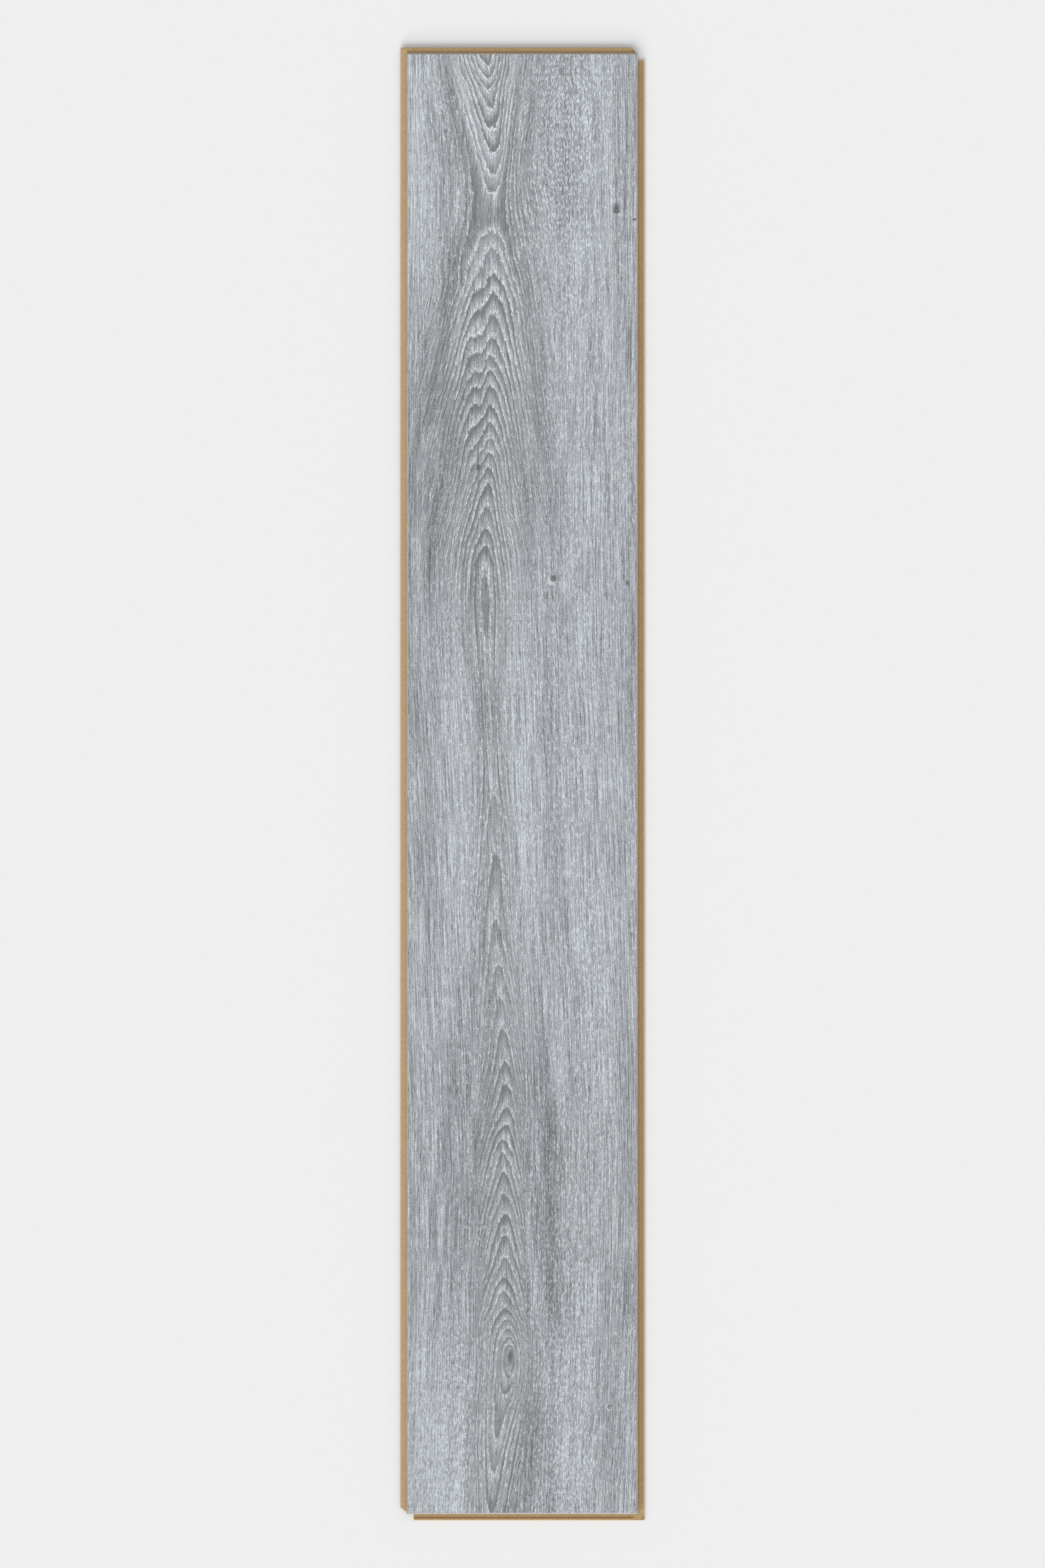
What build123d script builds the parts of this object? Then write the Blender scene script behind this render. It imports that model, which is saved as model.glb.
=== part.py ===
from build123d import *
import os

# Laminate floor plank: one pressed board, milled on all four edges.
# The face has a bevel all round. One long edge and one end carry a tongue, and the two
# edges opposite carry the matching groove with its lower lip, so planks click together.
# Frame: X across the plank, Y along it, Z up, origin on the underside below the middle of the face.
# All sizes are in millimetres.

# Board, with the face measured from joint line to joint line
FACE_LENGTH = 1200.0
FACE_WIDTH = 190.0
THICKNESS = 8.0

# Painted bevel round the face
BEVEL_WIDTH = 1.2
BEVEL_DEPTH = 0.7

# Tongue: how far it stands out, how thick it is, and the belly that hangs below it
TONGUE_REACH = 5.0
TONGUE_THICKNESS = 2.3
BELLY_DROP = 0.6
BELLY_RUN = 2.4

# Lower lip under the groove, with the locking ridge near its end
LIP_REACH = 5.5
LIP_THICKNESS = 1.7
RIDGE_RISE = 1.0
RIDGE_WIDTH = 1.5
RIDGE_FLANK = 0.9
RIDGE_CHAMFER = 0.5

# Room left between two planks that are clicked together
JOINT_CLEARANCE = 0.1
LIP_END_GAP = 0.3

# How far the milling runs past the board on each side
CUTTER_OVERRUN = 20.0

# Heights above the underside that the tongue and the groove share
GROOVE_FLOOR = LIP_THICKNESS + BELLY_DROP
TONGUE_FLOOR = GROOVE_FLOOR + JOINT_CLEARANCE
TONGUE_CEILING = TONGUE_FLOOR + TONGUE_THICKNESS
GROOVE_CEILING = TONGUE_CEILING + JOINT_CLEARANCE
RIDGE_CEILING = LIP_THICKNESS + RIDGE_RISE
RECESS_CEILING = RIDGE_CEILING + JOINT_CLEARANCE

# Distances out from the joint line that the tongue and the groove share
NOSE_RADIUS = TONGUE_THICKNESS / 2
NOSE_START = TONGUE_REACH - NOSE_RADIUS
BELLY_START = NOSE_START - BELLY_RUN
RIDGE_START = LIP_REACH - RIDGE_WIDTH
FLANK_START = RIDGE_START - RIDGE_FLANK


def tongue_edge(joint_line):
    """The tongue's outline on the right, from the face's corner down to the underside."""

    def at(out, height):
        return (joint_line + out, height)

    hook = JOINT_CLEARANCE - FLANK_START
    recess = JOINT_CLEARANCE - RIDGE_START
    back = -(LIP_REACH + LIP_END_GAP)
    top = Polyline(
        at(-BEVEL_WIDTH, THICKNESS),
        at(0, THICKNESS - BEVEL_DEPTH),
        at(0, TONGUE_CEILING),
        at(NOSE_START, TONGUE_CEILING),
    )
    nose = ThreePointArc(
        at(NOSE_START, TONGUE_CEILING),
        at(TONGUE_REACH, TONGUE_CEILING - NOSE_RADIUS),
        at(NOSE_START, TONGUE_FLOOR),
    )
    below = Polyline(
        at(NOSE_START, TONGUE_FLOOR),
        at(BELLY_START, TONGUE_FLOOR - BELLY_DROP),
        at(hook, TONGUE_FLOOR - BELLY_DROP),
        at(recess, RECESS_CEILING),
        at(back, RECESS_CEILING),
        at(back, 0),
    )
    return [*top.edges(), *nose.edges(), *below.edges()], back


def groove_edge(joint_line):
    """The groove's outline on the left, from the face's corner down to the lip's end on the underside."""

    def at(out, height):
        return (joint_line - out, height)

    root_radius = (GROOVE_CEILING - GROOVE_FLOOR) / 2
    root_start = -(NOSE_START + JOINT_CLEARANCE)
    top = Polyline(
        at(-BEVEL_WIDTH, THICKNESS),
        at(0, THICKNESS - BEVEL_DEPTH),
        at(0, GROOVE_CEILING),
        at(root_start, GROOVE_CEILING),
    )
    root = ThreePointArc(
        at(root_start, GROOVE_CEILING),
        at(root_start - root_radius, GROOVE_CEILING - root_radius),
        at(root_start, GROOVE_FLOOR),
    )
    lip = Polyline(
        at(root_start, GROOVE_FLOOR),
        at(-BELLY_START, LIP_THICKNESS),
        at(FLANK_START, LIP_THICKNESS),
        at(RIDGE_START, RIDGE_CEILING),
        at(LIP_REACH - RIDGE_CHAMFER, RIDGE_CEILING),
        at(LIP_REACH, RIDGE_CEILING - RIDGE_CHAMFER),
        at(LIP_REACH, 0),
    )
    return [*top.edges(), *root.edges(), *lip.edges()], LIP_REACH


def milled_section(span):
    """Cross-section of a board whose face is span wide: groove on the left, tongue on the right."""
    half = span / 2
    tongue, tongue_foot = tongue_edge(half)
    groove, groove_foot = groove_edge(-half)
    face = Line((BEVEL_WIDTH - half, THICKNESS), (half - BEVEL_WIDTH, THICKNESS))
    underside = Line((-half - groove_foot, 0), (half + tongue_foot, 0))
    outline = Wire([*tongue, *groove, *face.edges(), *underside.edges()])
    return make_face(outline.edges())


def milled_bar(span, run, plane):
    """A bar of that section, run long and a little over, lying across the plane."""
    reach = run / 2 + CUTTER_OVERRUN
    return extrude(plane * milled_section(span), amount=reach, both=True)


def plank():
    """The board that both millings leave, with its long edges along Y and its ends along X.

    Where a tongue crosses a lip's ridge at a corner, a crumb is cut loose and falls away.
    """
    across = Plane(origin=(0, 0, 0), x_dir=(-1, 0, 0), z_dir=(0, 1, 0))
    long_edges = milled_bar(FACE_WIDTH, FACE_LENGTH, across)
    ends = milled_bar(FACE_LENGTH, FACE_WIDTH, Plane.YZ)
    return (long_edges & ends).solids().sort_by(SortBy.VOLUME)[-1]


os.makedirs("parts", exist_ok=True)
export_step(plank(), "parts/plank.step")
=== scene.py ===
"""One laminate floor plank: grey oak print on its face, painted bevels, milled fibreboard edges, paper back.

Sizes are in millimetres until a mesh is written, which is in metres.
X runs across the plank, Y along it and Z up, with the origin on the underside below the middle of the face.
"""

import logging
import math
from dataclasses import dataclass
from enum import Enum
from functools import partial

import bmesh
import bpy
import numpy as np
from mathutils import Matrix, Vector


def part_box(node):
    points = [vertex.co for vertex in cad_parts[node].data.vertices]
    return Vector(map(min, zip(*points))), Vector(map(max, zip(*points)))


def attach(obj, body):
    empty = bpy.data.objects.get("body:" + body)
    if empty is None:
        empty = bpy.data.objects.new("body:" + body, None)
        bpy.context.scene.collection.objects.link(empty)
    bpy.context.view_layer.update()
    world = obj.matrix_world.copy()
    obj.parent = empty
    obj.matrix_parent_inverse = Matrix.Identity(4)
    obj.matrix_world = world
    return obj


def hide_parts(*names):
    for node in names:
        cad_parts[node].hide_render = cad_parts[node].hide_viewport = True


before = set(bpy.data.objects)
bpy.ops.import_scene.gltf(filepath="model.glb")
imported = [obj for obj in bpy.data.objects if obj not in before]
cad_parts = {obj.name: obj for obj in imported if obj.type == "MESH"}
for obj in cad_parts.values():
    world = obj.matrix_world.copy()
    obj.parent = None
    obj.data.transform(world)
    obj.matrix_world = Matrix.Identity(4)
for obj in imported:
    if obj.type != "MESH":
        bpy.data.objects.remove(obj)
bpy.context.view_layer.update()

NODE = "plank"
BODY = "root"
MM = 0.001
LOG = logging.getLogger("plank")
MATH = "ShaderNodeMath"
RANGE = "ShaderNodeMapRange"
SMOOTH = {"interpolation_type": "SMOOTHSTEP"}

Array = np.ndarray
Keys = tuple[tuple[float, float], ...]
Size = tuple[float, float]
Slope = tuple[float, float]
Span = tuple[float, float]
Tree = bpy.types.NodeTree
Value = bpy.types.Node | bpy.types.NodeSocket | float


class Skin(Enum):
    """The finishes on the plank's skin, numbered as its material slots."""

    DECOR = 0
    BEVEL = 1
    CORE = 2
    BACK = 3


def linear(code: str) -> tuple[float, float, float, float]:
    """Turns an sRGB hex colour into linear light.

    Args:
        code: Six hex digits, red first.

    Returns:
        Linear red, green and blue, and an alpha of 1.
    """
    parts = [int(code[i : i + 2], 16) / 255 for i in (0, 2, 4)]
    light = [c / 12.92 if c <= 0.04045 else ((c + 0.055) / 1.055) ** 2.4 for c in parts]
    return (*light, 1.0)


def lattice_noise(across: Array, along: Array, seed: float) -> Array:
    """Smooth noise: random values on a unit lattice, blended between corners with a quintic ease.

    Args:
        across: Places along the first lattice direction.
        along: Places along the second lattice direction.
        seed: Any number; another number gives another noise.

    Returns:
        Values from -1 to 1, shaped as the places are.
    """
    column, row = np.floor(across), np.floor(along)
    blend = [f * f * f * (f * (f * 6 - 15) + 10) for f in (across - column, along - row)]

    def corner(right: int, up: int) -> Array:
        """The random value at one corner of each place's cell."""
        wave = np.sin((column + right) * 127.1 + (row + up) * 311.7 + seed * 74.7) * 43758.5453
        return 2 * (wave - np.floor(wave)) - 1

    low = corner(0, 0) * (1 - blend[0]) + corner(1, 0) * blend[0]
    high = corner(0, 1) * (1 - blend[0]) + corner(1, 1) * blend[0]
    return low * (1 - blend[1]) + high * blend[1]


def smooth_track(keys: Keys, along: Array, softness: float) -> Array:
    """A line through key points with its corners rounded by a running Gaussian mean.

    Args:
        keys: Pairs of place and value.
        along: Places at which the line is read.
        softness: The Gaussian's width, in the places' unit.

    Returns:
        The line's values, shaped as the places are.
    """
    place, value = np.array(sorted(keys)).T
    grid = np.arange(place[0] - 8 * softness, place[-1] + 8 * softness, softness / 6)
    weight = np.exp(-0.5 * (np.arange(-24, 25) / 6) ** 2)
    padded = np.pad(np.interp(grid, place, value), 24, mode="edge")
    return np.interp(along, grid, np.convolve(padded, weight / weight.sum(), mode="valid"))


def side_track(sides: tuple[Keys, Keys], s: Array, along: Array, softness: float) -> Array:
    """Reads one rounded line left of the centre line, where s is under 0, and another right of it."""
    return np.where(s < 0, *(smooth_track(keys, along, softness) for keys in sides))


def ease(value: Array, low: float, high: float) -> Array:
    """Smooth step from 0 at the low value to 1 at the high one: 3 times the square less twice the cube."""
    share = np.clip((value - low) / (high - low), 0, 1)
    return share * share * (3 - 2 * share)


@dataclass(frozen=True)
class ClickProfile:
    """The milled edges' sizes in millimetres, as the solid has them."""

    thickness: float
    bevel_width: float = 1.2
    bevel_depth: float = 0.7
    tongue_reach: float = 5.0
    tongue_thickness: float = 2.3
    belly_drop: float = 0.6
    belly_run: float = 2.4
    lip_reach: float = 5.5
    lip_thickness: float = 1.7
    ridge_rise: float = 1.0
    ridge_width: float = 1.5
    ridge_flank: float = 0.9
    ridge_chamfer: float = 0.5
    clearance: float = 0.1
    lip_end_gap: float = 0.3
    round_steps: int = 9

    @property
    def groove_floor(self) -> float:
        """Height of the groove's floor at its root."""
        return self.lip_thickness + self.belly_drop

    @property
    def nose_start(self) -> float:
        """How far out the tongue's rounded nose begins."""
        return self.tongue_reach - self.tongue_thickness / 2

    @property
    def ridge_start(self) -> float:
        """How far out the locking ridge's flat top begins."""
        return self.lip_reach - self.ridge_width

    def half_round(self, start: float, low: float, high: float, side: int) -> Array:
        """A half circle from its upper end to its lower: the angle runs evenly from up to down.

        Args:
            start: How far out both ends lie.
            low: Height of the lower end.
            high: Height of the upper end.
            side: 1 to bulge outwards, -1 inwards.

        Returns:
            Rows of out and height.
        """
        turn = np.linspace(0, np.pi, self.round_steps)
        radius = (high - low) / 2
        return np.column_stack([start + side * radius * np.sin(turn), low + radius * (1 + np.cos(turn))])

    def tongue_edge(self, over: float) -> Array:
        """The tongue's outline from the bevel's foot down to the underside.

        Args:
            over: How far the outline runs on below the underside.

        Returns:
            Rows of out from the joint line and height.
        """
        floor = self.groove_floor + self.clearance
        belly = floor - self.belly_drop
        recess = self.lip_thickness + self.ridge_rise + self.clearance
        back = -(self.lip_reach + self.lip_end_gap)
        top = [(0, self.thickness - self.bevel_depth), (0, floor + self.tongue_thickness)]
        nose = self.half_round(self.nose_start, floor, floor + self.tongue_thickness, 1)
        below = [
            (self.nose_start - self.belly_run, belly),
            (self.clearance + self.ridge_flank - self.ridge_start, belly),
            (self.clearance - self.ridge_start, recess),
            (back, recess),
            (back, -over),
        ]
        return np.vstack([top, nose, below])

    def groove_edge(self, over: float) -> Array:
        """The groove's outline from the bevel's foot down to the lower lip's end on the underside.

        Args:
            over: How far the outline runs on below the underside.

        Returns:
            Rows of out from the joint line and height.
        """
        ceiling = self.groove_floor + self.tongue_thickness + 2 * self.clearance
        ridge = self.lip_thickness + self.ridge_rise
        top = [(0, self.thickness - self.bevel_depth), (0, ceiling)]
        root = self.half_round(-self.nose_start - self.clearance, self.groove_floor, ceiling, -1)
        lip = [
            (self.belly_run - self.nose_start, self.lip_thickness),
            (self.ridge_start - self.ridge_flank, self.lip_thickness),
            (self.ridge_start, ridge),
            (self.lip_reach - self.ridge_chamfer, ridge),
            (self.lip_reach, ridge - self.ridge_chamfer),
            (self.lip_reach, -over),
        ]
        return np.vstack([top, root, lip])

    def section(self, span: float, over: float, columns: int) -> Array:
        """The board's closed section: face, groove side going down, underside, tongue side going up.

        Args:
            span: The face's width from joint line to joint line.
            over: How far the bevels run on above the face, and the feet below the underside.
            columns: Points across the face.

        Returns:
            Rows of place across and height; the first rows are the face, from the tongue's side.
        """
        half = span / 2
        inner = half - self.bevel_width * (1 + over / self.bevel_depth)
        across = np.linspace(-inner, inner, columns)
        face = np.column_stack([across, np.full(columns, self.thickness + over)])
        groove = self.groove_edge(over) + [half, 0]
        tongue = self.tongue_edge(over) * [-1, 1] - [half, 0]
        return np.vstack([face, groove, tongue[::-1]])


@dataclass(frozen=True)
class Knot:
    """A knot that the grain bends round.

    It has a centre, a half width, how much longer than wide it is, and how many rings close round it.
    """

    x: float
    y: float
    radius: float
    stretch: float
    rings: float
    ring_reach: float = 1.35
    heart: float = 0.7
    bend_reach: float = 2.0

    def distance(self, x: Array, y: Array) -> Array:
        """How many half widths a place is from the centre, with the length counted as the width is."""
        return np.hypot((x - self.x) / self.radius, (y - self.y) / (self.radius * self.stretch))

    def eye(self, x: Array, y: Array) -> Array:
        """How many rings the knot takes off at a place: a bell of the distance."""
        return self.rings * np.exp(-((self.distance(x, y) / self.ring_reach) ** 2))

    def bend(self, x: Array, y: Array) -> Array:
        """How far the fibres are pushed aside: as by a round post in a stream, fading with distance."""
        near = np.maximum(self.distance(x, y), self.heart)
        return (x - self.x) * np.exp(-near / self.bend_reach) / near**2


@dataclass(frozen=True)
class Streak:
    """A darker or paler stripe along the board: its middle, half width, the ends it fades at, and depth."""

    x: float
    half: float
    low: float
    high: float
    depth: float
    fade: float = 40.0

    def at(self, x: Array, y: Array) -> Array:
        """A bell across the stripe, eased to nothing over the fade past its ends."""
        ends = np.clip((y - self.low) / self.fade + 1, 0, 1) * np.clip((self.high - y) / self.fade + 1, 0, 1)
        return self.depth * np.exp(-(((x - self.x) / self.half) ** 2)) * ends


@dataclass(frozen=True)
class RingRun:
    """Stations along the plank where ring edges cross the figure's centre line.

    The first station is the edge of ring number first, and each later one is step rings on.
    """

    first: float
    step: int
    stations: tuple[float, ...]

    def keys(self) -> list[tuple[float, float]]:
        """Pairs of station and ring number."""
        return [(y, self.first + self.step * i) for i, y in enumerate(self.stations)]


@dataclass(frozen=True)
class Shoulder:
    """The arches' left side below the saddle: a narrow peak, a dip, a flat shoulder and a steep drop.

    Places and half widths are in millimetres from the centre line, and heights in rings.
    """

    peak: float = 0.95
    peak_half: float = 5.5
    dip: float = 0.2
    dip_at: float = 12.5
    dip_half: float = 4.0
    dip_lift: float = 0.7
    drop_at: float = 18.0
    drop_round: float = 3.0
    drop_slope: float = 0.14
    sway: float = 2.5

    def rings(self, far: Array, y: Array) -> Array:
        """Rings crossed from the centre line out.

        The peak and the dip are bells, and the drop is a hyperbola's branch. The dip's height and both
        their places sway along the board.

        Args:
            far: Distances from the centre line, in millimetres.
            y: Places along, in millimetres.

        Returns:
            Numbers of rings.
        """
        moved = self.sway * lattice_noise(y / 24, 0 * y, 21)
        dip = self.dip + self.dip * lattice_noise(y / 19, 0 * y, 22)
        past = far - self.drop_at - moved
        rings = (self.peak + self.dip_lift * dip) * (1 - np.exp(-((far / self.peak_half) ** 2)))
        rings -= dip * np.exp(-(((far - self.dip_at - moved) / self.dip_half) ** 2))
        return rings + self.drop_slope * (np.hypot(past, self.drop_round) + past)


@dataclass(frozen=True)
class Saddle:
    """The highest place of the centre line: one wide ring with a smooth dark waist.

    Its place and reaches are in millimetres, the waist's two spans in ring numbers, and its extra rings are
    for the left and the right side.
    """

    y: float = 474.0
    ring: float = 20.62
    flatness: float = 0.87
    extra_rings: tuple[float, float] = (2.0, 1.2)
    reach: float = 40.0
    waist_start: Span = (20.2, 20.5)
    waist_end: Span = (20.9, 21.15)
    waist_half: Size = (26.0, 65.0)

    def flatten(self, ring: Array, s: Array, y: Array) -> Array:
        """Takes most of the rise past the saddle's ring back out of the ring number."""
        wide = np.where(s < 0, *self.extra_rings) * np.exp(-(((y - self.y) / self.reach) ** 2))
        return ring - np.clip(self.flatness * (ring - self.ring), 0, wide)

    def waist(self, ring: Array, s: Array, y: Array) -> Array:
        """Share of the waist at a place: the late half of the saddle's own ring, near its height."""
        band = ease(ring, *self.waist_start) * (1 - ease(ring, *self.waist_end))
        return band * np.exp(-(((y - self.y) / self.waist_half[1]) ** 4) - (s / self.waist_half[0]) ** 4)


@dataclass(frozen=True)
class OakFigure:
    """The printed oak's figure, as whole-array functions of a place on the face in millimetres.

    A flat-sawn board shows growth rings as nested arches about a centre line. The ring number at a place is
    the number on the centre line there, which rises to a saddle and falls to a lens, plus a hyperbola of the
    distance from the line. Keys are pairs of a place along the plank and a value. Where there are two sets
    of keys, they are for the left and the right side of the centre line.
    """

    arches: tuple[RingRun, ...] = (
        RingRun(13, 1, (591, 580, 571, 556, 540, 521, 504, 486)),
        RingRun(20, -1, (456, 441, 421, 405, 387, 367, 352, 338, 326, 310)),
        RingRun(10, -1, (296, 281, 271, 257, 245, 226, 211, 195, 176)),
        RingRun(2, -1, (-10, -58, -113, -150, -178, -205, -231, -248, -265)),
        RingRun(-7, -1, (-279, -293, -304, -321, -338, -353, -370, -388)),
        RingRun(-15, -1, (-405, -418, -432, -445)),
        RingRun(-19, 1, (-541, -565, -598)),
    )
    turns: Keys = (
        (604, 12.2), (476, 20.6), (466, 20.62), (150, 1.75), (126, 2.0), (90, 2.3), (30, 2.4), (-500, -19.7),
    )
    centre: Keys = (
        (605, -30), (560, -26), (510, -23), (467, -27), (420, -25), (340, -27.5), (280, -28.5), (200, -31),
        (126, -30), (0, -26), (-60, -21.5), (-113, -21.5), (-230, -13.5), (-350, -13.5), (-445, -15.5),
        (-480, -14), (-541, -22.5), (-605, -26),
    )
    depths: tuple[Keys, Keys] = (
        (
            (605, 4), (560, 8), (525, 9), (500, 6), (474, 5.5), (453, 10), (430, 19), (330, 16), (250, 6),
            (180, 5), (0, 14), (-100, 24), (-445, 26), (-480, 15), (-530, 6), (-605, 6),
        ),
        (
            (605, 6), (540, 5), (514, 3), (496, 3), (480, 8), (463, 14), (435, 16), (400, 21), (367, 19),
            (340, 17), (310, 15), (270, 11), (230, 7), (0, 10), (-100, 14), (-445, 15), (-480, 8), (-530, 2),
            (-605, 2),
        ),
    )
    widths: tuple[Keys, Keys] = (
        ((200, 4.0), (0, 2.1), (-445, 1.9), (-520, 3.0)),
        ((200, 2.8), (0, 1.9), (-445, 1.8), (-520, 4.5)),
    )
    reaches: tuple[Keys, Keys] = (
        (
            (605, 30), (540, 34), (467, 32), (420, 44), (330, 56), (250, 40), (150, 24), (0, 20), (-440, 22),
            (-520, 20), (-605, 18),
        ),
        (
            (605, 34), (540, 34), (467, 34), (420, 40), (330, 46), (250, 38), (150, 24), (0, 15), (-440, 17),
            (-500, 24), (-605, 28),
        ),
    )
    shoulder: Shoulder = Shoulder()
    shoulder_keys: Keys = ((440, 0), (410, 1), (310, 1), (250, 0))
    saddle: Saddle = Saddle()
    knot: Knot = Knot(-9.5, -471.6, 7.0, 2.3, 3.4)
    blunt: float = 3.5
    far_blunt: float = 4.5
    blunt_half: float = 7.0
    left_tip: float = 0.38
    left_tip_half: float = 4.5
    dark_year: float = 21.6
    dark_year_half: float = 0.9
    streaks: tuple[Streak, ...] = (
        Streak(-60, 5, 440, 610, -0.8), Streak(-72, 4, 380, 610, 0.5), Streak(79, 1.8, 380, 610, -1.1),
        Streak(86, 1.8, 330, 610, -0.8), Streak(38, 15, 480, 610, -1.4), Streak(33, 4, 220, 500, -0.6),
        Streak(8, 4, 190, 280, -0.8), Streak(-61, 9, 540, 610, -0.7), Streak(-66, 6, 300, 400, -0.9),
        Streak(-85, 9, 430, 630, 0.8), Streak(-85, 4, 330, 420, -0.6), Streak(-75, 3, 180, 330, -0.6),
        Streak(88, 2.5, 40, 240, -1.2), Streak(22, 4, -600, -160, -0.9), Streak(8, 2.5, -420, -180, 0.7),
        Streak(34, 3, -600, -200, 0.5), Streak(-84, 5, -520, -200, 0.5), Streak(48, 8, -580, -430, 0.7),
        Streak(12, 13, -600, -525, -1.2), Streak(27, 9, -430, -280, -1.0), Streak(87, 3, -420, -200, -0.7),
        Streak(-58, 5, -560, -330, -0.5),
    )
    left_tones: Keys = (
        (605, 1.1), (480, 0.9), (400, 0.4), (330, -0.4), (220, -0.9), (120, -0.7), (0, -0.2), (-200, 0.0),
        (-430, 0.4), (-605, 0.9),
    )
    right_tones: Keys = ((605, 0.7), (450, 0.9), (330, 0.5), (100, 0.5), (-605, 0.1))
    rice_keys: Keys = ((605, 1), (480, 0.9), (420, 0.5), (340, 0.2), (0, 0.3), (-250, 0.4), (-605, 0.6))
    bold_keys: Keys = ((605, 0.45), (500, 0.4), (420, 0.1), (340, -0.1), (0, -0.1), (-250, 0), (-605, 0.1))
    jag_keys: Keys = (
        (605, 1), (475, 1), (455, 1.7), (420, 1.7), (400, 1), (250, 0.9), (100, 0.5), (-605, 0.45),
    )
    contrast_keys: Keys = (
        (605, 1), (475, 1), (448, 0.9), (425, 1), (300, 0.95), (220, 0.9), (170, 0.85), (120, 0.5),
        (60, 0.3), (0, 0.45), (-60, 0.65), (-150, 0.7), (-230, 0.85), (-430, 0.9), (-470, 0.75),
        (-540, 0.85), (-605, 0.75),
    )
    band_gain: float = 1.1
    streak_gain: float = 0.55
    area_gain: float = 0.8
    waist_loss: float = 0.45
    year_loss: float = 0.8
    near_loss: float = 0.38
    late_depth: float = 0.09
    furrow_depth: float = 0.035

    def wander(self, x: Array, y: Array) -> Array:
        """How far the grain strays sideways from straight, in millimetres."""
        return 1.6 * lattice_noise(x / 70, y / 160, 3) + 0.6 * lattice_noise(x / 16, y / 45, 4)

    def offset(self, x: Array, y: Array) -> Array:
        """Distance to the right of the centre line, with the grain's wander taken out.

        Beside the line its own course counts, and far out only its mean course.

        Args:
            x: Places across, in millimetres.
            y: Places along, in millimetres.

        Returns:
            Millimetres, under 0 on the left.
        """
        near = smooth_track(self.centre, y, 12)
        far = smooth_track(self.centre, y, 90)
        return x + self.wander(x, y) - near - (far - near) * ease(np.abs(x - near), 12, 45)

    def line_rings(self, y: Array, softness: float) -> Array:
        """Ring number on the centre line, with its turns rounded."""
        keys = [key for run in self.arches for key in run.keys()]
        return smooth_track((*keys, *self.turns), y, softness)

    def side_rings(self, s: Array, y: Array) -> Array:
        """Rings crossed from the centre line out.

        A hyperbola, as a flat cut at some depth beside the pith of a round stem shows: level at the middle,
        and one ring to each ring width far out. The left side has a narrow tip in the near half, and a
        shoulder in the hyperbola's place below the saddle.

        Args:
            s: Distances to the right of the centre line, in millimetres.
            y: Places along, in millimetres.

        Returns:
            Numbers of rings.
        """
        far = np.abs(s)
        left = s < 0
        near_depth = side_track(self.depths, s, y, 10)
        far_depth = side_track(self.depths, s, y, 70)
        blunt = (self.blunt + self.far_blunt * ease(y, 490, 535)) * np.exp(-((s / self.blunt_half) ** 2))
        depth = near_depth + (far_depth - near_depth) * ease(far, 22, 60) + blunt
        arch = (np.hypot(depth, s) - depth) / side_track(self.widths, s, y, 50)
        tip = self.left_tip * (1 - np.exp(-((s / self.left_tip_half) ** 2)))
        arch += tip * ease(-y, 80, 220) * (1 - ease(-y, 425, 460)) * left
        share = smooth_track(self.shoulder_keys, y, 8) * left
        return arch * (1 - share) + self.shoulder.rings(far, y) * share

    def rings(self, x: Array, y: Array) -> Array:
        """Ring number at each place, with a fraction of 0 just past a ring's edge.

        It is the centre line's number, less wavy further out, plus the rings to the side, less the rings
        round the knot. The ring at the saddle is a wide one: its number hardly rises over the late wood.

        Args:
            x: Places across, in millimetres.
            y: Places along, in millimetres.

        Returns:
            Ring numbers, shaped as the places are.
        """
        bent = y + 3.5 * lattice_noise(x / 9, y / 30, 5) + 1.5 * lattice_noise(x / 3.5, y / 16, 8)
        s = self.offset(x, y)
        far = np.clip((np.abs(s) - 12) / 22, 0, 1)
        line = self.line_rings(bent, 3) * (1 - far) + self.line_rings(bent, 22) * far
        line += (self.line_rings(y, 100) - line) * 0.45 * ease(np.abs(s), 20, 55)
        ring = line + self.side_rings(s, y) - self.knot.eye(x, y)
        return self.saddle.flatten(ring, s, y)

    def flow(self, x: Array, y: Array) -> Array:
        """Place across the straight fibres, in millimetres: lines of one value bend round the knot."""
        return self.offset(x, y) - self.knot.bend(x, y)

    def out(self, x: Array, y: Array) -> Array:
        """Distance from the centre line, counted in the arches' reach to that side."""
        s = self.offset(x, y)
        return np.abs(s) / side_track(self.reaches, s, y, 25)

    def contrast(self, x: Array, y: Array) -> Array:
        """How strongly the rings show: most on the arches, and not where the grain runs straight.

        Args:
            x: Places across, in millimetres.
            y: Places along, in millimetres.

        Returns:
            Shares from 0 to 1.
        """
        out = self.out(x, y)
        shown = 0.6 * (1 - ease(out, 0.3, 0.75)) + 0.4 * (1 - ease(out, 0.7, 1.5))
        return smooth_track(self.contrast_keys, y, 12) * shown

    def rice(self, x: Array, y: Array) -> Array:
        """Share of the face that short pale flecks cover: most right of the middle and at the near left.

        Args:
            x: Places across, in millimetres.
            y: Places along, in millimetres.

        Returns:
            Shares from 0 to 1.
        """
        patchy = 0.15 * lattice_noise(x / 22, y / 60, 6) + 0.15 * lattice_noise(x / 9, y / 120, 7)
        right = np.exp(-(((x - 38) / 30) ** 2)) * smooth_track(self.rice_keys, y, 30)
        near_left = ease(-y, 420, 500) / (1 + np.exp((x + 42) / 7))
        return np.clip(0.3 + 0.5 * right + patchy + 0.55 * near_left, 0, 1)

    def bold(self, x: Array, y: Array) -> Array:
        """How strongly the flecks stand out: most at the far end and right of the middle."""
        right = np.exp(-(((x - 36) / 32) ** 2)) * smooth_track(self.bold_keys, y, 30)
        return 0.8 + right - 0.3 / (1 + np.exp((x + 65) / 5)) - 0.2 / (1 + np.exp((70 - x) / 6))

    def jag(self, y: Array) -> Array:
        """How jagged the rings' edges are: most just below the saddle, least in the near half."""
        return smooth_track(self.jag_keys, y, 12)

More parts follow.
